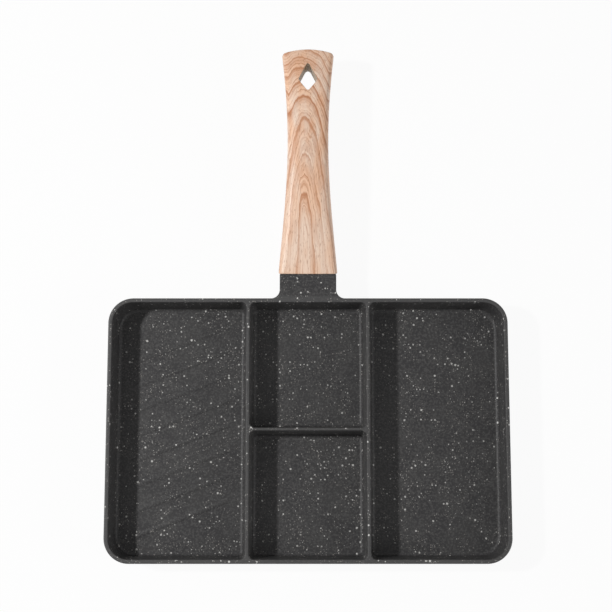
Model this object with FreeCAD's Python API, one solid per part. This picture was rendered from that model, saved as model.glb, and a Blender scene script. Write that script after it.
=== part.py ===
import FreeCAD, Part
import math
import os

from FreeCAD import Placement, Rotation, Vector

# Divided frying pan: one casting with four compartments, and a moulded handle held by one screw.
# Millimetres. The origin is the middle of the base face, +X to the right, +Y to the handle, +Z up.

# Tray
pan_length = 320.8
pan_width = 210.4
pan_height = 30.0
corner_radius = 20.0
outer_draft = 5.0
base_edge_radius = 6.0
floor_thickness = 4.0
base_pad_height = 0.8
base_pad_margin = 3.0

# Rim and compartments
rim_thickness = 3.4
rim_outer_radius = 1.3
rim_inner_radius = 0.8
divider_spacing = 96.0
divider_thickness = 2.6
cross_divider_thickness = 2.2
pocket_draft = 4.5
pocket_corner_radius = 4.4
floor_fillet = 3.6

# Ribs of the left compartment
rib_count = 8
rib_pitch = 20.2
rib_angle = 21.0
rib_width = 5.0
rib_height = 0.5
rib_end_slope = 12.0
rib_wall_margin = 14.5

# Neck, and the tang that goes into the handle
neck_width = 45.6
neck_length = 19.5
neck_depth = 19.6
neck_lower_radius = 6.0
neck_fillet = 7.0
neck_dip_radius = 40.0
neck_dip_depth = 0.7
neck_dip_distance = 8.2
tang_width = 24.0
tang_thickness = 8.0
tang_length = 38.0
tang_edge_radius = 1.5

# Handle: distances run from the neck along its arched axis
handle_rise = 12.0
handle_length = 184.0
handle_arch_radius = 640.0
handle_overlap = 1.2
shoulder_distance = 62.0
shoulder_width = 36.6
waist_distance = 102.0
waist_width = 33.2
waist_thickness = 21.0
flare_from_tip = 32.0
flare_width = 36.8
tip_width = 43.6
tip_thickness = 15.5
base_crown_radius = 200.0
waist_crown_radius = 42.0
tip_crown_radius = 110.0
side_crown_radius = 40.0
base_corner_radius = 4.5
waist_corner_radius = 7.5
tip_corner_radius = 5.0
tip_arc_radius = 76.0
tip_edge_radius = 1.7
neck_end_chamfer = 1.0
handle_steps = 16
socket_clearance = 0.2

# Hanging hole
hole_from_tip = 26.1
hole_width = 16.0
hole_to_tip_side = 15.8
hole_to_pan_side = 10.1
hole_upper_corner_radius = 1.2
hole_lower_corner_radius = 3.6
hole_edge_radius = 0.6

# Screw and washer
screw_distance = 20.0
screw_diameter = 5.0
screw_clearance = 0.2
screw_reach = 6.5
screw_head_diameter = 9.5
screw_head_height = 2.8
screw_seat_thickness = 2.4
recess_width = 1.2
recess_span = 5.2
recess_depth = 1.6
washer_diameter = 10.4
washer_thickness = 1.0
counterbore_clearance = 0.6

# Places that follow from the sizes above, and how near counts as touching
touching = 0.001
half_length = pan_length / 2
half_width = pan_width / 2
divider_x = divider_spacing / 2
pocket_depth = pan_height - floor_thickness
handle_base_width = neck_width + 2 * handle_overlap
handle_base_thickness = neck_depth + 2 * handle_overlap
hole_distance = handle_length - hole_from_tip
flare_distance = handle_length - flare_from_tip
screw_seat_height = -tang_thickness / 2 - socket_clearance - screw_seat_thickness
rise = math.radians(handle_rise)
joint_height = pan_height - neck_depth / 2 * math.cos(rise)
joint_y = half_width + neck_length + neck_depth / 2 * math.sin(rise)
joint = Placement(Vector(0, joint_y, joint_height), Rotation(Vector(1, 0, 0), handle_rise))


def rounded_polygon(corners, radii):
    """Closed wire through the corners, each rounded with its own radius."""
    arcs = []
    for index, corner in enumerate(corners):
        to_last = (corners[index - 1] - corner).normalize()
        to_next = (corners[(index + 1) % len(corners)] - corner).normalize()
        half_angle = to_last.getAngle(to_next) / 2
        reach = radii[index] / math.tan(half_angle)
        bisector = (to_last + to_next).normalize()
        middle = corner + bisector * (radii[index] / math.sin(half_angle) - radii[index])
        arcs.append((corner + to_last * reach, middle, corner + to_next * reach))
    edges = []
    for (start, middle, end), following in zip(arcs, arcs[1:] + arcs[:1]):
        edges.append(Part.Arc(start, middle, end).toShape())
        edges.append(Part.LineSegment(end, following[0]).toShape())
    return Part.Wire(edges)


def rounded_outline(x0, x1, y0, y1, z, radii):
    """Closed wire of a rectangle whose corners have their own radii, from low x and y, anticlockwise."""
    corners = [Vector(x0, y0, z), Vector(x1, y0, z), Vector(x1, y1, z), Vector(x0, y1, z)]
    return rounded_polygon(corners, radii)


def edges_at_height(shape, z):
    """Edges of a shape that lie in the level plane at z."""
    return [e for e in shape.Edges if max(abs(e.BoundBox.ZMin - z), abs(e.BoundBox.ZMax - z)) < touching]


def make_drafted_block(x0, x1, y0, y1, low, high, draft, radii, low_edge_radius):
    """Block that narrows downwards, with its own radius at each upright corner and a rounded lower edge.

    The sizes are those of its top; corners run from low x and y, anticlockwise.
    """
    inset = (high - low) * math.tan(math.radians(draft))
    block = Part.makeWedge(x0 + inset, low, inset - y1, -y1, x0, x1 - inset, high, -inset - y0, -y0, x1)
    block.rotate(Vector(0, 0, 0), Vector(1, 0, 0), 90)
    for (x, y), radius in zip([(x0, y0), (x1, y0), (x1, y1), (x0, y1)], radii):
        corner = Part.Vertex(x, y, high)
        upright = [e for e in block.Edges if e.BoundBox.ZLength > (high - low) / 2]
        nearest = min(upright, key=lambda e: e.distToShape(corner)[0])
        block = block.makeFillet(radius, [nearest])
    return block.makeFillet(low_edge_radius, edges_at_height(block, low))


def make_tray_block():
    """The outside of the tray: drafted walls, a rounded lower edge and a flat pad that meets the hob."""
    block = make_drafted_block(-half_length, half_length, -half_width, half_width, base_pad_height,
                               pan_height, outer_draft, [corner_radius] * 4, base_edge_radius)
    pad_inset = (pan_height * math.tan(math.radians(outer_draft)) + base_edge_radius + base_pad_margin)
    pad_outline = rounded_outline(-half_length + pad_inset, half_length - pad_inset,
                                  -half_width + pad_inset, half_width - pad_inset, 0,
                                  [corner_radius - base_edge_radius] * 4)
    pad = Part.Face(pad_outline).extrude(Vector(0, 0, base_pad_height * 2))
    pad = pad.makeChamfer(base_pad_height / 2, edges_at_height(pad, 0))
    return block.fuse(pad).removeSplitter()


def make_pocket(x0, x1, y0, y1, radii):
    """The hollow of one compartment, from its floor up to the top of the rim."""
    return make_drafted_block(x0, x1, y0, y1, floor_thickness, pan_height,
                              pocket_draft, radii, floor_fillet)


def make_pockets():
    """Full-height compartments left and right, two stacked ones between the long dividers."""
    wall_x = half_length - rim_thickness
    wall_y = half_width - rim_thickness
    divider_face = divider_x + divider_thickness / 2
    middle_x = divider_x - divider_thickness / 2
    middle_y = cross_divider_thickness / 2
    small = pocket_corner_radius
    large = corner_radius - rim_thickness
    left = make_pocket(-wall_x, -divider_face, -wall_y, wall_y, [large, small, small, large])
    right = make_pocket(divider_face, wall_x, -wall_y, wall_y, [small, large, large, small])
    far = make_pocket(-middle_x, middle_x, middle_y, wall_y, [small] * 4)
    near = make_pocket(-middle_x, middle_x, -wall_y, -middle_y, [small] * 4)
    return [left, right, far, near]


def make_ribs():
    """Low parallel ribs on the floor of the left compartment: rounded across, sloping at both ends."""
    arc_radius = (rib_width ** 2 / 4 + rib_height ** 2) / (2 * rib_height)
    root = floor_thickness / 2
    low_x = -half_length + rim_thickness + rib_wall_margin
    high_x = -divider_x - divider_thickness / 2 - rib_wall_margin
    half_run = (high_x - low_x) / 2 / math.cos(math.radians(rib_angle))
    slope = math.tan(math.radians(rib_end_slope))
    root_x = half_run + root / slope
    crest_x = half_run - rib_height / slope
    side = [Vector(-root_x, -rib_width, -root), Vector(root_x, -rib_width, -root),
            Vector(crest_x, -rib_width, rib_height), Vector(-crest_x, -rib_width, rib_height)]
    clip = Part.Face(Part.makePolygon(side + side[:1])).extrude(Vector(0, 2 * rib_width, 0))
    axis_start = Vector(-root_x, 0, rib_height - arc_radius)
    bar = Part.makeCylinder(arc_radius, 2 * root_x, axis_start, Vector(1, 0, 0))
    rib = bar.common(clip)
    ribs = []
    for index in range(rib_count):
        middle = Vector((low_x + high_x) / 2, (index - (rib_count - 1) / 2) * rib_pitch, floor_thickness)
        copy = rib.copy()
        copy.Placement = Placement(middle, Rotation(Vector(0, 0, 1), rib_angle))
        ribs.append(copy)
    return ribs


def rounded_section(width, low_z, high_z, y, low_radius, high_radius):
    """Upright rounded rectangle across the neck, as a closed wire in the plane at y."""
    flat = rounded_outline(-width / 2, width / 2, low_z, high_z, 0,
                           [low_radius, low_radius, high_radius, high_radius])
    flat.Placement = Placement(Vector(0, y, 0), Rotation(Vector(1, 0, 0), 90))
    return flat


def add_neck(block):
    """Neck flush with the rim, cut square to the handle, and blended into the wall with a fillet."""
    low_z = pan_height - neck_depth
    section = rounded_section(neck_width, low_z, pan_height + neck_depth, half_width - corner_radius,
                              neck_lower_radius, neck_lower_radius)
    neck = Part.Face(section).extrude(Vector(0, corner_radius + neck_length * 2, 0))
    below_rim = Part.makeBox(pan_length, pan_length, pan_height, Vector(-half_length, 0, 0))
    beyond = Part.makeBox(pan_length, pan_length, pan_length, Vector(-half_length, 0, -half_length))
    beyond.Placement = joint.multiply(beyond.Placement)
    neck = neck.common(below_rim).cut(beyond)
    body = block.fuse(neck).removeSplitter()
    wall_slope = math.tan(math.radians(outer_draft))
    seam = []
    for edge in body.Edges:
        off_wall = [half_width - (pan_height - v.Z) * wall_slope - v.Y for v in edge.Vertexes]
        on_wall = max(abs(distance) for distance in off_wall) < touching
        from_middle = max(abs(edge.BoundBox.XMin), abs(edge.BoundBox.XMax))
        above_lower_side = edge.BoundBox.ZMin > low_z - neck_lower_radius / 2
        if on_wall and from_middle < neck_width / 2 + touching and above_lower_side:
            seam.append(edge)
    return body.makeFillet(neck_fillet, seam)


def make_tang():
    """Tongue cast on the end of the neck, with the hole that the screw bites into."""
    tang = Part.makeBox(tang_width, tang_length + neck_length / 2, tang_thickness,
                        Vector(-tang_width / 2, -neck_length / 2, -tang_thickness / 2))
    long_edges = [e for e in tang.Edges if e.BoundBox.YLength > tang_length]
    tang = tang.makeFillet(tang_edge_radius, long_edges)
    bore = Part.makeCylinder(screw_diameter / 2 + screw_clearance / 2, screw_reach + screw_clearance,
                             Vector(0, screw_distance, -tang_thickness / 2))
    tang = tang.cut(bore)
    tang.Placement = joint
    return tang


def round_rim(body):
    """Round the rim and the tops of the dividers; the edge at the handle stays square."""
    outer = []
    for edge in edges_at_height(body, pan_height):
        middle = edge.valueAt((edge.FirstParameter + edge.LastParameter) / 2)
        inside_x = abs(middle.x) < half_length - rim_thickness / 2
        inside_y = abs(middle.y) < half_width - rim_thickness / 2
        at_handle = middle.y > half_width + neck_length - touching
        if not (inside_x and inside_y) and not at_handle:
            outer.append(edge)
    body = body.makeFillet(rim_outer_radius, outer)
    return body.makeFillet(rim_inner_radius, edges_at_height(body, pan_height))


def make_neck_dip():
    """Shallow scoop across the top of the neck, just behind the rim."""
    axis_start = Vector(-half_length, half_width + neck_dip_distance,
                        pan_height + neck_dip_radius - neck_dip_depth)
    return Part.makeCylinder(neck_dip_radius, pan_length, axis_start, Vector(1, 0, 0))


def make_pan_body():
    body = add_neck(make_tray_block())
    for pocket in make_pockets():
        body = body.cut(pocket)
    body = round_rim(body).cut(make_neck_dip())
    body = body.multiFuse(make_ribs())
    body = body.fuse(make_tang())
    return body


def on_handle_axis(distance):
    """Place on the handle's arched axis, turned to follow it, for shapes drawn across the axis."""
    turn = distance / handle_arch_radius
    drop = handle_arch_radius * (1 - math.cos(turn))
    reach = handle_arch_radius * math.sin(turn)
    local = Placement(Vector(0, reach, -drop), Rotation(Vector(1, 0, 0), -math.degrees(turn)))
    return joint.multiply(local)


def handle_section(distance, width, thickness, crown_radius, corner_radius):
    """Section across the handle: crowned top and bottom, slightly bowed sides and round corners."""
    crown_centre = thickness / 2 - crown_radius
    side_centre = width / 2 - side_crown_radius
    to_crown = crown_radius - corner_radius
    to_side = side_crown_radius - corner_radius
    span = math.hypot(side_centre, crown_centre)
    along = (to_side ** 2 - to_crown ** 2 + span ** 2) / (2 * span)
    across = math.sqrt(to_side ** 2 - along ** 2)
    towards = Vector(-side_centre / span, 0, crown_centre / span)
    corner = Vector(side_centre, 0, 0) + towards * along + Vector(-towards.z, 0, towards.x) * across
    side_tangent = (corner - Vector(side_centre, 0, 0)).normalize()
    crown_tangent = (corner - Vector(0, 0, crown_centre)).normalize()
    bisector = (side_tangent + crown_tangent).normalize()
    at_side = corner + side_tangent * corner_radius
    at_corner = corner + bisector * corner_radius
    at_crown = corner + crown_tangent * corner_radius
    quarters = [(1, 1), (-1, 1), (-1, -1), (1, -1)]
    edges = []
    for index, (x, z) in enumerate(quarters):
        mirrored = [Vector(p.x * x, 0, p.z * z) for p in (at_side, at_corner, at_crown)]
        if x != z:
            mirrored.reverse()
        next_x, next_z = quarters[(index + 1) % len(quarters)]
        if x == z:
            crest = Vector(0, 0, z * thickness / 2)
            arrival = Vector(next_x * at_crown.x, 0, next_z * at_crown.z)
        else:
            crest = Vector(x * width / 2, 0, 0)
            arrival = Vector(next_x * at_side.x, 0, next_z * at_side.z)
        edges.append(Part.Arc(*mirrored).toShape())
        edges.append(Part.Arc(mirrored[-1], crest, arrival).toShape())
    wire = Part.Wire(edges)
    wire.Placement = on_handle_axis(distance)
    return wire


def make_tip_cutter():
    """What lies beyond the handle's gently curved end."""
    far = handle_length
    centre = Vector(0, -tip_arc_radius, 0)
    disc = Part.makeCylinder(tip_arc_radius, far, centre - Vector(0, 0, far / 2))
    block = Part.makeBox(far, far, far, Vector(-far / 2, -tip_arc_radius / 2, -far / 2))
    cutter = block.cut(disc)
    cutter.Placement = on_handle_axis(handle_length)
    return cutter


def make_hanging_hole():
    """Kite-shaped hole through the handle, square to its top face, with rounder corners lower down."""
    ends = [(tip_thickness, hole_upper_corner_radius), (-tip_thickness, hole_lower_corner_radius)]
    wires = []
    for height, radius in ends:
        corners = [Vector(0, hole_to_tip_side, height), Vector(-hole_width / 2, 0, height),
                   Vector(0, -hole_to_pan_side, height), Vector(hole_width / 2, 0, height)]
        wires.append(rounded_polygon(corners, [radius] * 4))
    hole = Part.makeLoft(wires, True, True)
    hole.Placement = on_handle_axis(hole_distance)
    return hole


def make_socket():
    """Hollow in the handle for the tang, with the counterbored hole for the screw below it."""
    width = tang_width + 2 * socket_clearance
    thickness = tang_thickness + 2 * socket_clearance
    socket = Part.makeBox(width, tang_length + neck_length, thickness,
                          Vector(-width / 2, socket_clearance - neck_length, -thickness / 2))
    hole = Part.makeCylinder(screw_diameter / 2 + screw_clearance, handle_base_thickness,
                             Vector(0, screw_distance, 0), Vector(0, 0, -1))
    seat = Vector(0, screw_distance, screw_seat_height)
    bore_radius = washer_diameter / 2 + counterbore_clearance
    counterbore = Part.makeCylinder(bore_radius, handle_base_thickness, seat, Vector(0, 0, -1))
    hollow = socket.multiFuse([hole, counterbore])
    hollow.Placement = joint
    return hollow


def size_along_handle(distances, sizes):
    """Smooth curve of one size of the handle's section against the distance from the neck."""
    curve = Part.BSplineCurve()
    curve.interpolate(Points=[Vector(d, s, 0) for d, s in zip(distances, sizes)], Parameters=distances)
    return curve


def make_grip():
    """The handle's outside: sections along the arched axis, narrowest at the waist."""
    end = handle_length + tip_edge_radius
    main = [0, waist_distance, end]
    width = size_along_handle([0, shoulder_distance, waist_distance, flare_distance, end],
                              [handle_base_width, shoulder_width, waist_width, flare_width, tip_width])
    thickness = size_along_handle(main, [handle_base_thickness, waist_thickness, tip_thickness])
    crown = size_along_handle(main, [base_crown_radius, waist_crown_radius, tip_crown_radius])
    corner = size_along_handle(main, [base_corner_radius, waist_corner_radius, tip_corner_radius])
    inset = 2 * neck_end_chamfer
    sections = [handle_section(0, handle_base_width - inset, handle_base_thickness - inset,
                               base_crown_radius, base_corner_radius)]
    for step in range(handle_steps + 1):
        place = neck_end_chamfer + (end - neck_end_chamfer) * step / handle_steps
        sections.append(handle_section(place, width.value(place).y, thickness.value(place).y,
                                       crown.value(place).y, corner.value(place).y))
    return Part.makeLoft(sections, True, True)


def make_handle():
    """Moulded grip with a curved, rounded end, the hanging hole, the socket and the screw hole."""
    handle = make_grip().cut(make_tip_cutter())
    tip = on_handle_axis(handle_length)
    tip_edges = []
    for edge in handle.Edges:
        middle = tip.inverse().multVec(edge.valueAt((edge.FirstParameter + edge.LastParameter) / 2))
        if abs(math.hypot(middle.x, middle.y + tip_arc_radius) - tip_arc_radius) < touching:
            tip_edges.append(edge)
    handle = handle.makeFillet(tip_edge_radius, tip_edges)
    hole = make_hanging_hole()
    handle = handle.cut(hole)
    hole_rims = []
    for edge in handle.Edges:
        middle = Part.Vertex(edge.valueAt((edge.FirstParameter + edge.LastParameter) / 2))
        if hole.distToShape(middle)[0] < touching and edge.BoundBox.ZLength < tip_thickness / 2:
            hole_rims.append(edge)
    handle = handle.makeFillet(hole_edge_radius, hole_rims)
    return handle.cut(make_socket())


def make_screw():
    """Pan-head screw with a cross recess, driven up from below; its head ends just inside the handle."""
    head_radius = screw_head_diameter / 2
    underside = screw_seat_height - washer_thickness
    crown = underside - screw_head_height
    dome_height = screw_head_height / 2
    dome_radius = (head_radius ** 2 + dome_height ** 2) / (2 * dome_height)
    collar = Part.makeCylinder(head_radius, screw_head_height, Vector(0, 0, crown))
    dome = Part.makeSphere(dome_radius, Vector(0, 0, crown + dome_radius))
    head = collar.common(dome)
    shank_length = screw_reach - tang_thickness / 2 - underside
    shank = Part.makeCylinder(screw_diameter / 2, shank_length, Vector(0, 0, underside))
    top_edge = edges_at_height(shank, underside + shank_length)
    shank = shank.makeChamfer(screw_diameter / 6, top_edge)
    screw = head.fuse(shank)
    for length, width in ((recess_span, recess_width), (recess_width, recess_span)):
        slot = Part.makeBox(length, width, recess_depth, Vector(-length / 2, -width / 2, crown))
        screw = screw.cut(slot)
    screw.translate(Vector(0, screw_distance, 0))
    screw.Placement = joint.multiply(screw.Placement)
    return screw


def make_washer():
    """Plain washer between the screw head and its seat in the handle."""
    centre = Vector(0, screw_distance, screw_seat_height)
    down = Vector(0, 0, -1)
    disc = Part.makeCylinder(washer_diameter / 2, washer_thickness, centre, down)
    bore = Part.makeCylinder(screw_diameter / 2 + screw_clearance, washer_thickness, centre, down)
    washer = disc.cut(bore)
    washer.Placement = joint
    return washer


os.makedirs("parts", exist_ok=True)
make_pan_body().exportStep("parts/pan_body.step")
make_handle().exportStep("parts/handle.step")
make_screw().exportStep("parts/handle_screw.step")
make_washer().exportStep("parts/screw_washer.step")
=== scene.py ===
import math

import bpy
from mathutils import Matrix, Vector


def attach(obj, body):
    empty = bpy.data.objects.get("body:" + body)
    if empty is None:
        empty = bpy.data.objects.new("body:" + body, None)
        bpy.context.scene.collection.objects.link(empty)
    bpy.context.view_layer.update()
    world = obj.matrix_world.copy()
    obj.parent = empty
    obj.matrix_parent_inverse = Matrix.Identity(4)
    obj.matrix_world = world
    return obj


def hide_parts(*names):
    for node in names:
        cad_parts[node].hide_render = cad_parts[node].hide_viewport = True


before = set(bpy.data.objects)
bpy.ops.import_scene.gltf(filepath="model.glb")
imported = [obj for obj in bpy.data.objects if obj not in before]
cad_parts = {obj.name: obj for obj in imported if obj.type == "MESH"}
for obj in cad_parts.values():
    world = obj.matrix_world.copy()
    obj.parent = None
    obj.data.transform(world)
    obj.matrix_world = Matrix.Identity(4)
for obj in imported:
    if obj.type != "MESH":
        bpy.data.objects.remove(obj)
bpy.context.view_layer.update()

bpy.ops.object.select_all(action="DESELECT")

# The pan body is one aluminium casting: tray, walls, dividers, ribs and the neck for the handle.
# It is sprayed all over with a dark non-stick coating full of pale mineral specks. Along the rim and the
# tops of the dividers it is painted a little paler: a painted highlight for their sheen, with some rubbed
# wear.
COATING_COLOUR = (0.036, 0.035, 0.036, 1.0)
COATING_CLOUD = (0.047, 0.046, 0.046, 1.0)
# Paler colour of the rim and divider tops: a painted highlight for their sheen, with some rubbed wear.
SHEEN_AND_RUBBED_COLOUR = (0.105, 0.104, 0.103, 1.0)
GRAIN_COLOUR = (0.090, 0.088, 0.087, 1.0)
SMALL_SPECK_COLOUR = (0.375, 0.355, 0.33, 1.0)
LARGE_SPECK_COLOUR = (0.80, 0.79, 0.76, 1.0)
COATING_ROUGHNESS = 0.46
COATING_SPECULAR = 0.2
CLOUDS = {"size": 0.022, "detail": 3.0, "low": 0.35, "high": 0.65}
CLUSTERS = {"size": 0.014, "detail": 1.0, "low": 0.30, "high": 0.62}
GRAINS = {"size": 0.0015, "detail": 3.0, "low": 0.42, "high": 0.66}
GRAIN_SHARE = 0.75
SMALL_SPECKS = {"cell": 0.0017, "smallest": 0.00025, "largest": 0.00062, "share": 1.1}
LARGE_SPECKS = {"cell": 0.0028, "smallest": 0.00030, "largest": 0.00105, "share": 0.62}
SPECK_CORE = 0.62
FAINTEST_SPECK = 0.38
RAGGED_SIZE = 0.0012
RAGGED_REACH = 0.0007
RIM_TOP = 0.030
# Heights of the paler band at the top edges, which is painted highlight and rubbed wear.
SHEEN_AND_RUB_START = RIM_TOP - 0.0016
SHEEN_AND_RUB_END = RIM_TOP - 0.0003
SHEEN_AND_RUBBED_SHARE = 0.42
NECK_START = 0.1055
NECK_FADE = 0.003
PEEL_SIZE = 0.0009
PEEL_HEIGHT = 0.00006
PEEL_STRENGTH = 0.5
JOIN_DISTANCE = 0.00001
CRISP_ANGLE = math.radians(30)


def new_material(name):
    """Node material with one surface shader; gives the material, its tree and the shader."""
    material = bpy.data.materials.new(name)
    material.use_nodes = True
    tree = material.node_tree
    return material, tree, tree.nodes["Principled BSDF"]


def put(tree, socket, value):
    """Sets a socket to a number or colour, or links it to another node's output."""
    if isinstance(value, bpy.types.NodeSocket):
        tree.links.new(value, socket)
    else:
        socket.default_value = value


def compute(tree, operation, *values):
    """Math node on numbers or outputs."""
    node = tree.nodes.new("ShaderNodeMath")
    node.operation = operation
    for socket, value in zip(node.inputs, values):
        put(tree, socket, value)
    return node.outputs[0]


def times(tree, first, second):
    """Product of two values."""
    return compute(tree, "MULTIPLY", first, second)


def inverse(tree, value):
    """1 where a value is 0, and 0 where it is 1."""
    return compute(tree, "SUBTRACT", 1.0, value)


def compute_place(tree, operation, place, second):
    """Vector math node on coordinates and a second vector, or a number to scale by."""
    node = tree.nodes.new("ShaderNodeVectorMath")
    node.operation = operation
    put(tree, node.inputs[0], place)
    put(tree, node.inputs["Scale" if operation == "SCALE" else 1], second)
    return node.outputs[0]


def place_on_piece(tree):
    """Coordinates fixed to the piece, in metres."""
    return tree.nodes.new("ShaderNodeTexCoord").outputs["Object"]


def axes_of(tree, place):
    """The X, Y and Z of coordinates."""
    node = tree.nodes.new("ShaderNodeSeparateXYZ")
    put(tree, node.inputs[0], place)
    return node.outputs


def ramp(tree, value, low, high):
    """Smooth step from 0 at low to 1 at high."""
    node = tree.nodes.new("ShaderNodeMapRange")
    node.interpolation_type = "SMOOTHSTEP"
    for name, number in (("Value", value), ("From Min", low), ("From Max", high)):
        put(tree, node.inputs[name], number)
    return node.outputs[0]


def blend_colour(tree, factor, first, second):
    """Mix of two colours."""
    node = tree.nodes.new("ShaderNodeMix")
    node.data_type = "RGBA"
    put(tree, node.inputs["Factor"], factor)
    put(tree, node.inputs["A"], first)
    put(tree, node.inputs["B"], second)
    return next(output for output in node.outputs if output.type == "RGBA")


def noise(tree, place, size, detail=2.0):
    """Noise whose features are about size metres across."""
    node = tree.nodes.new("ShaderNodeTexNoise")
    put(tree, node.inputs["Vector"], place)
    node.inputs["Scale"].default_value = 1 / size
    node.inputs["Detail"].default_value = detail
    return node.outputs[0]


def patches(tree, place, size, detail, low, high):
    """Soft patches: 0 where the noise is under low, 1 where it is over high."""
    return ramp(tree, noise(tree, place, size, detail), low, high)


def shift_by_noise(tree, place, size, reach):
    """Coordinates pushed about by noise, so that what is drawn on them has ragged edges."""
    colour = noise(tree, place, size).node.outputs["Color"]
    centred = compute_place(tree, "SUBTRACT", colour, (0.5, 0.5, 0.5))
    return compute_place(tree, "ADD", place, compute_place(tree, "SCALE", centred, reach))


def specks(tree, place, cluster, cell, smallest, largest, share):
    """Scattered specks, one in a cell at most, each of its own size and brightness, more in clusters."""
    cells = tree.nodes.new("ShaderNodeTexVoronoi")
    put(tree, cells.inputs["Vector"], place)
    cells.inputs["Scale"].default_value = 1 / cell
    own = tree.nodes.new("ShaderNodeSeparateColor")
    put(tree, own.inputs[0], cells.outputs["Color"])
    own_size, own_chance, own_brightness = own.outputs
    distance = times(tree, cells.outputs["Distance"], cell)
    growth = compute(tree, "POWER", own_size, 2.0)
    radius = compute(tree, "MULTIPLY_ADD", growth, largest - smallest, smallest)
    inside = inverse(tree, ramp(tree, distance, times(tree, radius, SPECK_CORE), radius))
    present = compute(tree, "LESS_THAN", own_chance, times(tree, cluster, share))
    brightness = compute(tree, "MULTIPLY_ADD", own_brightness, 1 - FAINTEST_SPECK, FAINTEST_SPECK)
    return times(tree, inside, times(tree, present, brightness))


def speckled_coating():
    """Dark coating: clouds, a painted highlight with rubbed wear on the top edges, fine grain, small
    specks and large specks, over each other.
    """
    material, tree, shader = new_material("speckled_nonstick_coating")
    place = place_on_piece(tree)
    ragged = shift_by_noise(tree, place, RAGGED_SIZE, RAGGED_REACH)
    cluster = patches(tree, place, **CLUSTERS)
    _, y, z = axes_of(tree, place)
    before_neck = inverse(tree, ramp(tree, y, NECK_START, NECK_START + NECK_FADE))
    # Painted highlight with rubbed wear: the tops of the rim and dividers, short of the neck, are made
    # paler.
    sheen_and_rubbed = times(tree, ramp(tree, z, SHEEN_AND_RUB_START, SHEEN_AND_RUB_END), before_neck)
    grains = patches(tree, place, **GRAINS)
    small = specks(tree, ragged, cluster, **SMALL_SPECKS)
    large = specks(tree, ragged, cluster, **LARGE_SPECKS)
    colour = blend_colour(tree, patches(tree, place, **CLOUDS), COATING_COLOUR, COATING_CLOUD)
    # The painted highlight and rubbed wear on the top edges goes on here.
    colour = blend_colour(tree, times(tree, sheen_and_rubbed, SHEEN_AND_RUBBED_SHARE), colour, SHEEN_AND_RUBBED_COLOUR)
    colour = blend_colour(tree, times(tree, grains, GRAIN_SHARE), colour, GRAIN_COLOUR)
    colour = blend_colour(tree, small, colour, SMALL_SPECK_COLOUR)
    colour = blend_colour(tree, large, colour, LARGE_SPECK_COLOUR)
    put(tree, shader.inputs["Base Color"], colour)
    shader.inputs["Roughness"].default_value = COATING_ROUGHNESS
    shader.inputs["Specular IOR Level"].default_value = COATING_SPECULAR
    peel = tree.nodes.new("ShaderNodeBump")
    peel.inputs["Strength"].default_value = PEEL_STRENGTH
    peel.inputs["Distance"].default_value = PEEL_HEIGHT
    put(tree, peel.inputs["Height"], noise(tree, place, PEEL_SIZE))
    put(tree, shader.inputs["Normal"], peel.outputs[0])
    return material


def joined_copy(name, node):
    """Copy of a solid with its loose triangles joined into one skin."""
    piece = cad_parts[node].copy()
    piece.data = piece.data.copy()
    piece.name = name
    piece.parent = None
    bpy.context.scene.collection.objects.link(piece)
    bpy.ops.object.select_all(action="DESELECT")
    bpy.context.view_layer.objects.active = piece
    piece.select_set(True)
    bpy.ops.object.mode_set(mode="EDIT")
    bpy.ops.mesh.select_all(action="SELECT")
    bpy.ops.mesh.remove_doubles(threshold=JOIN_DISTANCE)
    bpy.ops.object.mode_set(mode="OBJECT")
    piece.data.materials.clear()
    return piece


def apply_modifier(piece, kind, **settings):
    """Adds a modifier to the active piece, sets it and applies it."""
    modifier = piece.modifiers.new(kind.lower(), kind)
    for name, value in settings.items():
        setattr(modifier, name, value)
    bpy.ops.object.modifier_apply(modifier=modifier.name)


def finish_skin(piece):
    """Smooth over curves, crisp at edges, with the shading of flat faces kept flat."""
    bpy.ops.object.mode_set(mode="OBJECT")
    bpy.ops.object.shade_smooth_by_angle(angle=CRISP_ANGLE)
    apply_modifier(piece, "WEIGHTED_NORMAL", keep_sharp=True)


pan = joined_copy("coated_pan", "pan_body")
finish_skin(pan)
pan.data.materials.append(speckled_coating())
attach(pan, "root")
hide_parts("pan_body")

# The handle is one hollow plastic moulding, pushed over the tang of the pan and printed with a wood
# grain. It arches away from the pan, is narrowest where it is held, and widens to an end with a
# kite-shaped hole. It is drawn along Y from the end of the neck, and raised to its angle at the end.
HANDLE_RISE = math.radians(12.0)
NECK_END = Vector((0.0, 0.12674, 0.02041))
HANDLE_LENGTH = 0.184
ARCH_RADIUS = 0.640
START, SHOULDER, WAIST, FLARE, PAST_TIP = 0.0, 0.062, 0.102, 0.152, 0.1857
WAIST_THICKNESS = 0.0210
WIDTHS = ((START, 0.0480), (SHOULDER, 0.0366), (WAIST, 0.0332), (FLARE, 0.0368), (PAST_TIP, 0.0436))
THICKNESSES = ((START, 0.0220), (WAIST, WAIST_THICKNESS), (PAST_TIP, 0.0155))
CROWN_RADII = ((START, 0.200), (WAIST, 0.042), (PAST_TIP, 0.110))
CORNER_RADII = ((START, 0.0045), (WAIST, 0.0075), (PAST_TIP, 0.0050))
CORNER_FULLNESS = 0.81
SIDE_RADIUS = 0.040
TIP_ARC_RADIUS = 0.076
TIP_SAG = 0.0031
TIP_EDGE_RADIUS = 0.0010
TIP_EDGE_STEPS = 5
NECK_END_EDGE = 0.0010
NECK_END_STEPS = 2
SECTION_COUNT = 16
SECTION_STEP = HANDLE_LENGTH / SECTION_COUNT
TIP_ZONE = SECTION_STEP * 0.75
INNER, OUTER, EDGE = 0.2, 0.4, 0.5
CREASE_ANGLE = math.radians(60)
END_EDGE_ANGLE = math.radians(50)
SKIN_LEVELS = 2
NEAR = 0.00001
NEAR_DIGITS = 5
PLASTIC_COLOUR = (0.43, 0.335, 0.235, 1.0)
PLASTIC_CLOUD = (0.49, 0.385, 0.275, 1.0)
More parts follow.
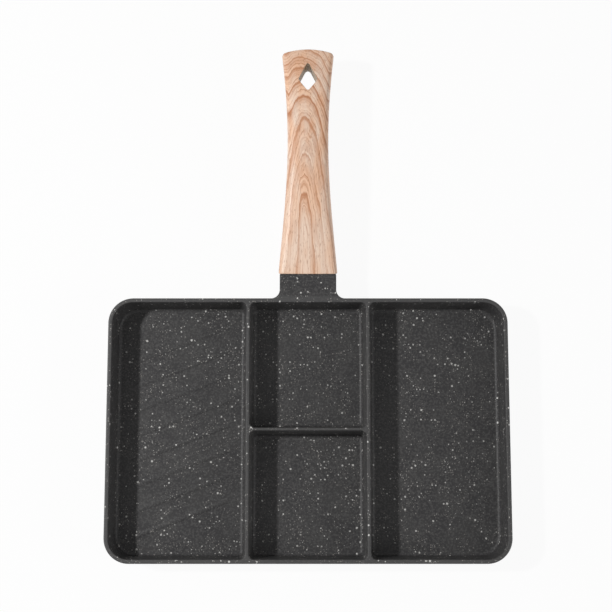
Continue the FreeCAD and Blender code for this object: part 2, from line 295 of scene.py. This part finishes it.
PLASTIC_CLOUD_SIZE = 0.002
PLASTIC_ROUGHNESS = 0.5


def pick(piece, wanted):
    """Selects the vertices of a piece whose place passes a test, and stays in edit mode."""
    bpy.ops.mesh.select_all(action="DESELECT")
    bpy.ops.object.mode_set(mode="OBJECT")
    for vertex in piece.data.vertices:
        vertex.select = wanted(vertex.co)
    bpy.ops.object.mode_set(mode="EDIT")


def pick_sharp(piece, angle, wanted):
    """Selects the sharp edges of a piece whose place passes a test, and goes to edit mode."""
    bpy.ops.object.mode_set(mode="EDIT")
    bpy.ops.mesh.select_all(action="DESELECT")
    bpy.ops.mesh.edges_select_sharp(sharpness=angle)
    bpy.ops.object.mode_set(mode="OBJECT")
    sharp = {vertex.index for vertex in piece.data.vertices if vertex.select and wanted(vertex.co)}
    bpy.ops.object.mode_set(mode="EDIT")
    bpy.ops.mesh.select_all(action="DESELECT")
    bpy.ops.object.mode_set(mode="OBJECT")
    for index in sharp:
        piece.data.vertices[index].select = True
    bpy.ops.object.mode_set(mode="EDIT")


def start_solid(location, scale):
    """Unit cube brought to its place and size, as the only thing selected."""
    bpy.ops.mesh.primitive_cube_add(size=1, location=location, scale=scale)
    bpy.ops.object.transform_apply(location=True, rotation=True, scale=True)
    bpy.ops.object.mode_set(mode="EDIT")
    bpy.ops.mesh.select_mode(type="VERT")
    return bpy.context.object


def size_at(known, distance):
    """Smooth size at a distance along the handle, from the sizes known at a few places."""
    size = 0.0
    for place, value in known:
        for other, _ in known:
            if other != place:
                value *= (distance - other) / (place - other)
        size += value
    return size


def section_places(distance):
    """One quarter of a section: pairs of a place in the unit cube and the real place, across and up."""
    half_width = size_at(WIDTHS, distance) / 2
    half_thickness = size_at(THICKNESSES, distance) / 2
    crown = size_at(CROWN_RADII, distance)
    corner = size_at(CORNER_RADII, distance)
    top_x = half_width - corner - (half_thickness - corner) ** 2 / (2 * SIDE_RADIUS)
    top_drop = top_x ** 2 / (2 * crown)
    flank_z = half_thickness - corner - top_drop
    bow = (flank_z / 2) ** 2 / (2 * SIDE_RADIUS)
    fullness = corner * CORNER_FULLNESS
    return (((0.0, EDGE), (0.0, half_thickness)),
            ((INNER, EDGE), (top_x / 2, half_thickness - top_drop / 4)),
            ((OUTER, EDGE), (top_x, half_thickness - top_drop)),
            ((EDGE, EDGE), (top_x + fullness, flank_z + fullness)),
            ((EDGE, OUTER), (top_x + corner, flank_z)),
            ((EDGE, INNER), (half_width - bow, flank_z / 2)),
            ((EDGE, 0.0), (half_width, 0.0)),
            ((OUTER, OUTER), (top_x, flank_z)),
            ((OUTER, INNER), (top_x, flank_z / 2)),
            ((OUTER, 0.0), (top_x, 0.0)),
            ((INNER, OUTER), (top_x / 2, flank_z)),
            ((INNER, INNER), (top_x / 2, flank_z / 2)),
            ((INNER, 0.0), (top_x / 2, 0.0)),
            ((0.0, OUTER), (0.0, flank_z)),
            ((0.0, INNER), (0.0, flank_z / 2)))


def bare_plastic():
    """Beige moulding plastic, as it shows in the holes, where the print doesn't reach."""
    material, tree, shader = new_material("bare_beige_plastic")
    cloud = noise(tree, place_on_piece(tree), PLASTIC_CLOUD_SIZE)
    put(tree, shader.inputs["Base Color"], blend_colour(tree, cloud, PLASTIC_COLOUR, PLASTIC_CLOUD))
    shader.inputs["Roughness"].default_value = PLASTIC_ROUGHNESS
    return material


# The wood grain of the handle is a print that follows its form, as if it were cut from a log. The
# growth rings lie round a pith that runs in the top near the pan and dives under it towards the tip,
# so that they show as nested arches, and the pith leans a little to the left at the tip.
WOOD_PALE = (0.98, 0.77, 0.62, 1.0)
WOOD_WARM = (0.95, 0.60, 0.40, 1.0)
WOOD_RING = (0.50, 0.185, 0.070, 1.0)
WOOD_PORE = (0.38, 0.165, 0.075, 1.0)
WOOD_ROUGHNESS = 0.45
PITH_START = 0.0415
PITH_SLOPE = 0.23
PITH_SOFTNESS = 0.012
PITH_SIDE = -0.0020
TIP_DIP_START = 0.118
TIP_DIP_SOFTNESS = 0.010
TIP_DIP = 5.0
TIP_LEAN = 0.05
GRAIN_SPREAD = 0.72
GRAIN_TAPER = 6.5
WANDER = {"reach": 0.0070, "squeeze": 0.25, "size": 0.014, "detail": 2.0}
FLAME = {"reach": 0.0045, "squeeze": 0.10, "size": 0.0021, "detail": 3.0}
RIPPLE = {"reach": 0.0018, "squeeze": 0.35, "size": 0.0042, "detail": 2.0}
RING_START = 0.0002
MAIN_RINGS = {"spacing": 0.0066, "start": 0.30, "seed": 3.0}
SUMMER_RINGS = {"spacing": 0.0019, "start": 0.45, "seed": 9.0}
FAINTEST_RING = 0.4
LINE_SHARE = 0.55
LINE_START, LINE_END = 0.72, 0.95
FINE_LINES = {"size": 0.0009, "detail": 2.0, "low": 0.44, "high": 0.66}
FINE_STRETCH = 0.04
TINT = {"squeeze": 0.2, "size": 0.009, "detail": 2.0, "low": 0.3, "high": 0.7}
SUMMER_PATCHES = {"squeeze": 0.25, "size": 0.011, "detail": 2.0, "low": 0.34, "high": 0.60}
PORES = {"squeeze": 0.22, "size": 0.0009, "detail": 3.0, "low": 0.55, "high": 0.70}
FINE_SHARE, SUMMER_SHARE, MAIN_SHARE, PORE_SHARE = 0.36, 0.85, 1.0, 0.45
FULL_STRENGTH_FROM = 0.110
NECK_STRENGTH = 0.68


def place_along_handle(tree):
    """Coordinates from the end of the neck, with Y along the raised handle."""
    turned = tree.nodes.new("ShaderNodeVectorRotate")
    turned.rotation_type = "X_AXIS"
    turned.inputs["Angle"].default_value = -HANDLE_RISE
    put(tree, turned.inputs["Vector"], compute_place(tree, "SUBTRACT", place_on_piece(tree), NECK_END))
    return turned.outputs[0]


def squeezed(tree, place, squeeze):
    """Coordinates squeezed along the handle, so that a pattern on them is drawn out that way."""
    node = tree.nodes.new("ShaderNodeMapping")
    node.inputs["Scale"].default_value = (1.0, squeeze, 1.0)
    put(tree, node.inputs["Vector"], place)
    return node.outputs[0]


def drift(tree, place, reach, squeeze, size, detail):
    """Uneven shift to both sides, by up to half of reach each way."""
    value = noise(tree, squeezed(tree, place, squeeze), size, detail)
    return compute(tree, "MULTIPLY_ADD", value, reach, -reach / 2)


def streaks(tree, place, squeeze, **look):
    """Patches drawn out along the handle."""
    return patches(tree, squeezed(tree, place, squeeze), **look)


def distance_from_pith(tree, place):
    """Radius of the growth ring that a place lies on."""
    x, y, z = axes_of(tree, place)
    past_dip = compute(tree, "SUBTRACT", y, TIP_DIP_START)
    near_tip = compute(tree, "SMOOTH_MAX", past_dip, 0.0, TIP_DIP_SOFTNESS)
    side = compute(tree, "ADD", x, drift(tree, place, **WANDER))
    side = compute(tree, "SUBTRACT", side, PITH_SIDE)
    side = compute(tree, "MULTIPLY_ADD", near_tip, TIP_LEAN, side)
    side = times(tree, side, compute(tree, "MULTIPLY_ADD", y, GRAIN_TAPER, GRAIN_SPREAD))
    past_start = compute(tree, "ADD", y, drift(tree, place, **FLAME))
    past_start = compute(tree, "SUBTRACT", past_start, PITH_START)
    dive = compute(tree, "SMOOTH_MAX", past_start, 0.0, PITH_SOFTNESS)
    arch_drop = times(tree, compute(tree, "POWER", y, 2.0), 0.5 / ARCH_RADIUS)
    above_top = compute(tree, "SUBTRACT", compute(tree, "ADD", z, arch_drop), WAIST_THICKNESS / 2)
    dip = times(tree, times(tree, near_tip, near_tip), TIP_DIP)
    above_pith = compute(tree, "MULTIPLY_ADD", dive, PITH_SLOPE, compute(tree, "ADD", above_top, dip))
    squares = compute(tree, "ADD", times(tree, side, side), times(tree, above_pith, above_pith))
    radius = compute(tree, "ADD", compute(tree, "SQRT", squares), RING_START)
    return compute(tree, "ADD", radius, drift(tree, place, **RIPPLE))


def growth_lines(tree, radius, spacing, start, seed):
    """Soft darkening through each ring up to a thin dark line, of its own strength in each."""
    rings = compute(tree, "DIVIDE", radius, spacing)
    ring = compute(tree, "FRACT", rings)
    own = tree.nodes.new("ShaderNodeTexWhiteNoise")
    own.noise_dimensions = "1D"
    put(tree, own.inputs["W"], compute(tree, "ADD", compute(tree, "FLOOR", rings), seed))
    strength = compute(tree, "MULTIPLY_ADD", own.outputs["Value"], 1 - FAINTEST_RING, FAINTEST_RING)
    soft = times(tree, ramp(tree, ring, start, 1.0), 1 - LINE_SHARE)
    rise = compute(tree, "MULTIPLY_ADD", ramp(tree, ring, LINE_START, LINE_END), LINE_SHARE, soft)
    cut = inverse(tree, ramp(tree, ring, LINE_END, 1.0))
    return times(tree, times(tree, rise, cut), strength)


def lines_in_rings(tree, radius, y):
    """Fine lines that run along with the growth rings."""
    sheet = tree.nodes.new("ShaderNodeCombineXYZ")
    put(tree, sheet.inputs["X"], radius)
    put(tree, sheet.inputs["Y"], times(tree, y, FINE_STRETCH))
    return patches(tree, sheet.outputs[0], **FINE_LINES)


def wood_print():
    """Pale wood with warm streaks, fine lines, summer and main growth rings, and short dark pores."""
    material, tree, shader = new_material("wood_grain_print")
    place = place_along_handle(tree)
    y = axes_of(tree, place)["Y"]
    radius = distance_from_pith(tree, place)
    strength = ramp(tree, y, 0.0, FULL_STRENGTH_FROM)
    strength = compute(tree, "MULTIPLY_ADD", strength, 1 - NECK_STRENGTH, NECK_STRENGTH)
    fine = lines_in_rings(tree, radius, y)
    summer = growth_lines(tree, radius, **SUMMER_RINGS)
    summer = times(tree, summer, streaks(tree, place, **SUMMER_PATCHES))
    main = growth_lines(tree, radius, **MAIN_RINGS)
    tint = times(tree, streaks(tree, place, **TINT), strength)
    colour = blend_colour(tree, tint, WOOD_PALE, WOOD_WARM)
    for lines, share in ((fine, FINE_SHARE), (summer, SUMMER_SHARE), (main, MAIN_SHARE)):
        lines = times(tree, lines, times(tree, strength, share))
        colour = blend_colour(tree, lines, colour, WOOD_RING)
    pores = times(tree, streaks(tree, place, **PORES), PORE_SHARE)
    put(tree, shader.inputs["Base Color"], blend_colour(tree, pores, colour, WOOD_PORE))
    shader.inputs["Roughness"].default_value = WOOD_ROUGHNESS
    return material


handle = start_solid((0, HANDLE_LENGTH / 2, 0), (1, HANDLE_LENGTH, 1))
handle.name = "wood_look_handle"
handle.data.materials.append(wood_print())
# Cuts along and across the cube give it a grid of places that can be moved.
for index in range(1, SECTION_COUNT):
    bpy.ops.mesh.select_all(action="SELECT")
    bpy.ops.mesh.bisect(plane_co=(0, index * SECTION_STEP, 0), plane_no=(0, 1, 0))
for share in (-OUTER, -INNER, 0.0, INNER, OUTER):
    for plane in (Vector((1, 0, 0)), Vector((0, 0, 1))):
        bpy.ops.mesh.select_all(action="SELECT")
        bpy.ops.mesh.bisect(plane_co=plane * share, plane_no=plane)
# In each section the cube's places are brought to the real ones, in all four quarters at once.
for index in range(SECTION_COUNT + 1):
    at = index * SECTION_STEP
    for (column, row), (x, z) in section_places(min(at, HANDLE_LENGTH - TIP_SAG)):
        pick(handle, lambda co: max(abs(co.y - at), abs(abs(co.x) - column), abs(abs(co.z) - row)) < NEAR)
        bpy.ops.transform.resize(value=(x / column if column else 1, 1, z / row if row else 1),
                                 center_override=(0, at, 0))
# The end at the tip is bowed to an arc.
at_tip = [vertex.co for vertex in handle.data.vertices if vertex.co.y > HANDLE_LENGTH - NEAR]
for x in {round(abs(co.x), NEAR_DIGITS) for co in at_tip}:
    pick(handle, lambda co: co.y > HANDLE_LENGTH - NEAR and abs(abs(co.x) - x) < NEAR)
    bpy.ops.transform.translate(value=(0, -x ** 2 / (2 * TIP_ARC_RADIUS), 0))
# Each section is turned about the centre of the arch to its place on the arched axis.
for index in range(SECTION_COUNT, 0, -1):
    at = index * SECTION_STEP
    lowest = at - (SECTION_STEP / 2 if index == SECTION_COUNT else NEAR)
    pick(handle, lambda co: lowest < co.y < at + NEAR)
    bpy.ops.transform.translate(value=(0, -at, 0))
    bpy.ops.transform.rotate(value=at / ARCH_RADIUS, orient_axis="X", center_override=(0, 0, -ARCH_RADIUS))
# The sharp edges of both ends are kept while the skin is smoothed, and rounded a little after it.
pick_sharp(handle, CREASE_ANGLE, lambda co: not NEAR < co.y < HANDLE_LENGTH - TIP_ZONE)
bpy.ops.transform.edge_crease(value=1.0)
bpy.ops.object.mode_set(mode="OBJECT")
apply_modifier(handle, "SUBSURF", levels=SKIN_LEVELS, render_levels=SKIN_LEVELS)
pick_sharp(handle, END_EDGE_ANGLE, lambda co: co.y < NEAR)
bpy.ops.mesh.bevel(offset=NECK_END_EDGE, segments=NECK_END_STEPS)
pick_sharp(handle, END_EDGE_ANGLE, lambda co: co.y > HANDLE_LENGTH / 2)
bpy.ops.mesh.bevel(offset=TIP_EDGE_RADIUS, segments=TIP_EDGE_STEPS)
bpy.ops.object.mode_set(mode="OBJECT")

# The hanging hole of the handle is a kite with rounded corners, cut square to the top. Its corners
# are rounder at the lower side, and its walls are the bare beige plastic, as the print ends there.
HOLE_FROM_TIP = 0.0261
HOLE_HALF_WIDTH = 0.0080
HOLE_TO_TIP_SIDE = 0.0158
HOLE_TO_PAN_SIDE = 0.0101
HOLE_UPPER_CORNER = 0.0012
HOLE_LOWER_CORNER = 0.0036
HOLE_CORNER_STEPS = 6
HOLE_EDGE_RADIUS = 0.0006
HOLE_EDGE_STEPS = 3
HOLE_HALF_DEPTH = 0.0155
PRINT_SLOT, PLASTIC_SLOT = 0, 1


def place_on_axis(piece, distance):
    """Brings a piece that was drawn at the origin to a place on the handle's arched axis."""
    turn = distance / ARCH_RADIUS
    piece.location = (0, ARCH_RADIUS * math.sin(turn), ARCH_RADIUS * (math.cos(turn) - 1))
    piece.rotation_euler = (-turn, 0, 0)


def cut_away(piece, cutter):
    """Takes a cutter out of a piece; the new walls keep the cutter's material."""
    bpy.ops.object.mode_set(mode="OBJECT")
    bpy.ops.object.select_all(action="DESELECT")
    bpy.context.view_layer.objects.active = piece
    piece.select_set(True)
    apply_modifier(piece, "BOOLEAN", operation="DIFFERENCE", solver="EXACT",
                   material_mode="TRANSFER", object=cutter)
    bpy.data.objects.remove(cutter)


plastic = bare_plastic()
# The cutter starts as a flat kite over the handle, with its corners rounded.
bpy.ops.mesh.primitive_circle_add(vertices=4, radius=1, fill_type="NGON", location=(0, 0, 0))
hole = bpy.context.object
bpy.ops.object.mode_set(mode="EDIT")
bpy.ops.transform.resize(value=(HOLE_HALF_WIDTH, HOLE_TO_TIP_SIDE, 1))
pick(hole, lambda co: co.y < -NEAR)
bpy.ops.transform.translate(value=(0, HOLE_TO_TIP_SIDE - HOLE_TO_PAN_SIDE, 0))
bpy.ops.mesh.select_all(action="SELECT")
bpy.ops.transform.translate(value=(0, 0, HOLE_HALF_DEPTH))
tip_half_angle = math.atan2(HOLE_HALF_WIDTH, HOLE_TO_TIP_SIDE)
pan_half_angle = math.atan2(HOLE_HALF_WIDTH, HOLE_TO_PAN_SIDE)
side_half_angle = (math.pi - tip_half_angle - pan_half_angle) / 2
kite_corners = ((0, HOLE_TO_TIP_SIDE, tip_half_angle), (0, -HOLE_TO_PAN_SIDE, pan_half_angle),
                (-HOLE_HALF_WIDTH, 0, side_half_angle), (HOLE_HALF_WIDTH, 0, side_half_angle))
for x, y, half_angle in kite_corners:
    pick(hole, lambda co: math.hypot(co.x - x, co.y - y) < NEAR)
    bpy.ops.mesh.bevel(affect="VERTICES", offset=HOLE_UPPER_CORNER / math.tan(half_angle),
                       segments=HOLE_CORNER_STEPS)
# It is drawn down through the handle, and its lower corners are made rounder.
bpy.ops.mesh.select_all(action="SELECT")
bpy.ops.mesh.extrude_region_move(TRANSFORM_OT_translate={"value": (0, 0, -2 * HOLE_HALF_DEPTH)})
growth = HOLE_LOWER_CORNER / HOLE_UPPER_CORNER
for x, y, half_angle in kite_corners:
    reach = HOLE_UPPER_CORNER / math.tan(half_angle) + NEAR
    pick(hole, lambda co: co.z < 0 and math.hypot(co.x - x, co.y - y) < reach)
    bpy.ops.transform.resize(value=(growth, growth, 1), center_override=(x, y, -HOLE_HALF_DEPTH))
bpy.ops.mesh.select_all(action="SELECT")
bpy.ops.mesh.normals_make_consistent(inside=False)
bpy.ops.object.mode_set(mode="OBJECT")
hole.data.materials.append(plastic)
place_on_axis(hole, HANDLE_LENGTH - HOLE_FROM_TIP)
cut_away(handle, hole)
# The edges round both ends of the hole get a small radius, with the print on it.
bpy.ops.object.mode_set(mode="EDIT")
bpy.ops.mesh.select_mode(type="FACE")
handle.active_material_index = PLASTIC_SLOT
bpy.ops.mesh.select_all(action="DESELECT")
bpy.ops.object.material_slot_select()
bpy.ops.mesh.region_to_loop()
bpy.ops.mesh.bevel(offset=HOLE_EDGE_RADIUS, segments=HOLE_EDGE_STEPS, material=PRINT_SLOT)
bpy.ops.mesh.select_mode(type="VERT")
bpy.ops.object.mode_set(mode="OBJECT")

# Inside its neck end the handle has the socket for the tang, and below that a counterbored hole for
# the screw. Both are bare plastic. With them cut, the handle is raised and set against the neck.
SOCKET_WIDTH, SOCKET_LENGTH, SOCKET_HEIGHT = 0.0244, 0.0382, 0.0084
SCREW_DISTANCE = 0.020
SCREW_HOLE_RADIUS = 0.0027
COUNTERBORE_RADIUS = 0.0058
COUNTERBORE_TOP = -0.0066
CUT_END = -0.020
HOLE_FACETS = 48
bpy.ops.mesh.primitive_cube_add(size=1, location=(0, SOCKET_LENGTH / 2 - NEAR, 0),
                                scale=(SOCKET_WIDTH, SOCKET_LENGTH, SOCKET_HEIGHT))
socket = bpy.context.object
socket.data.materials.append(plastic)
cut_away(handle, socket)
for radius, top in ((SCREW_HOLE_RADIUS, 0.0), (COUNTERBORE_RADIUS, COUNTERBORE_TOP)):
    bpy.ops.mesh.primitive_cylinder_add(vertices=HOLE_FACETS, radius=radius, depth=top - CUT_END,
                                        location=(0, SCREW_DISTANCE, (top + CUT_END) / 2))
    bore = bpy.context.object
    bore.data.materials.append(plastic)
    cut_away(handle, bore)
handle.rotation_euler = (HANDLE_RISE, 0, 0)
handle.location = NECK_END
bpy.ops.object.transform_apply(location=True, rotation=True, scale=True)
finish_skin(handle)
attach(handle, "root")
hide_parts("handle")

# The handle is held by one screw of plated steel, with a plain washer under its head. It is driven up
# from below, through the handle, into the tang. Both are shown as their own CAD solids.
STEEL_DARK = (0.50, 0.49, 0.47, 1.0)
STEEL_LIGHT = (0.66, 0.65, 0.63, 1.0)
STEEL_CLOUD_SIZE = 0.0015
STEEL_GRAIN_SIZE = 0.0008
STEEL_SMOOTHEST = 0.25
STEEL_ROUGHER_BY = 0.2


def plated_steel():
    """Grey plating, a little uneven in tone and gloss."""
    material, tree, shader = new_material("plated_screw_steel")
    place = place_on_piece(tree)
    cloud = noise(tree, place, STEEL_CLOUD_SIZE)
    grain = noise(tree, place, STEEL_GRAIN_SIZE)
    put(tree, shader.inputs["Base Color"], blend_colour(tree, cloud, STEEL_DARK, STEEL_LIGHT))
    roughness = compute(tree, "MULTIPLY_ADD", grain, STEEL_ROUGHER_BY, STEEL_SMOOTHEST)
    put(tree, shader.inputs["Roughness"], roughness)
    shader.inputs["Metallic"].default_value = 1.0
    return material


steel = plated_steel()
for name in ("handle_screw", "screw_washer"):
    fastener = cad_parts[name]
    fastener.data.materials.clear()
    fastener.data.materials.append(steel)

# The pan stands on a plain white floor in a pale room, and is seen almost straight from above. A small
# lamp stands on the left and a large soft one on the right. Both are aimed at the middle of the pan.
FLOOR_SIZE = 8.0
FLOOR_GAP = 0.0002
FLOOR_ALBEDO = (0.86, 0.86, 0.86, 1.0)
PAPER_ROUGHNESS = 0.9
WHITE_SHARE = 0.94
ROOM_COLOUR = (1.0, 1.0, 1.0, 1.0)
ROOM_STRENGTH = 0.15
LAMPS = (("lamp_left", (-1.10, 0.18, 1.24), 0.11, 19.5),
         ("soft_fill_right", (1.55, -0.50, 0.70), 1.0, 9.5))
CAMERA_PLACE = (-0.0016, -0.0655, 1.0964)
CAMERA_TILT = math.radians(8.75)
CAMERA_LENS = 79.0


def seen_as_white(tree):
    """1 for rays of the camera, of glossy reflections and through glass, and 0 for all others."""
    rays = tree.nodes.new("ShaderNodeLightPath").outputs
    seen = compute(tree, "MAXIMUM", rays["Is Camera Ray"], rays["Is Glossy Ray"])
    return compute(tree, "MAXIMUM", seen, rays["Is Transmission Ray"])


def white_paper():
    """Matt white paper, seen as nearly white, with a faint shadow of the pan."""
    material, tree, shader = new_material("white_paper_floor")
    shader.inputs["Base Color"].default_value = FLOOR_ALBEDO
    shader.inputs["Roughness"].default_value = PAPER_ROUGHNESS
    shader.inputs["Specular IOR Level"].default_value = 0.0
    glow = tree.nodes.new("ShaderNodeEmission")
    mixed = tree.nodes.new("ShaderNodeMixShader")
    put(tree, mixed.inputs[0], times(tree, seen_as_white(tree), WHITE_SHARE))
    put(tree, mixed.inputs[1], shader.outputs[0])
    put(tree, mixed.inputs[2], glow.outputs[0])
    put(tree, tree.nodes["Material Output"].inputs["Surface"], mixed.outputs[0])
    return material


bpy.ops.mesh.primitive_plane_add(size=FLOOR_SIZE, location=(0, 0, -FLOOR_GAP))
floor = bpy.context.object
floor.name = "floor"
floor.data.materials.append(white_paper())

world = bpy.data.worlds.new("pale_room")
bpy.context.scene.world = world
world.use_nodes = True
room = world.node_tree.nodes["Background"]
room.inputs["Color"].default_value = ROOM_COLOUR
seen = seen_as_white(world.node_tree)
strength = compute(world.node_tree, "MULTIPLY_ADD", seen, 1 - ROOM_STRENGTH, ROOM_STRENGTH)
put(world.node_tree, room.inputs["Strength"], strength)

for name, place, size, power in LAMPS:
    bpy.ops.object.light_add(type="AREA", location=place)
    lamp = bpy.context.object
    lamp.name = name
    lamp.data.shape = "DISK"
    lamp.data.size = size
    lamp.data.energy = power
    lamp.rotation_euler = (-Vector(place)).to_track_quat("-Z", "Y").to_euler()

bpy.ops.object.camera_add(location=CAMERA_PLACE, rotation=(CAMERA_TILT, 0.0, 0.0))
camera = bpy.context.object
camera.data.lens = CAMERA_LENS
camera.data.dof.use_dof = False
bpy.context.scene.camera = camera
bpy.context.scene.view_settings.view_transform = "Standard"
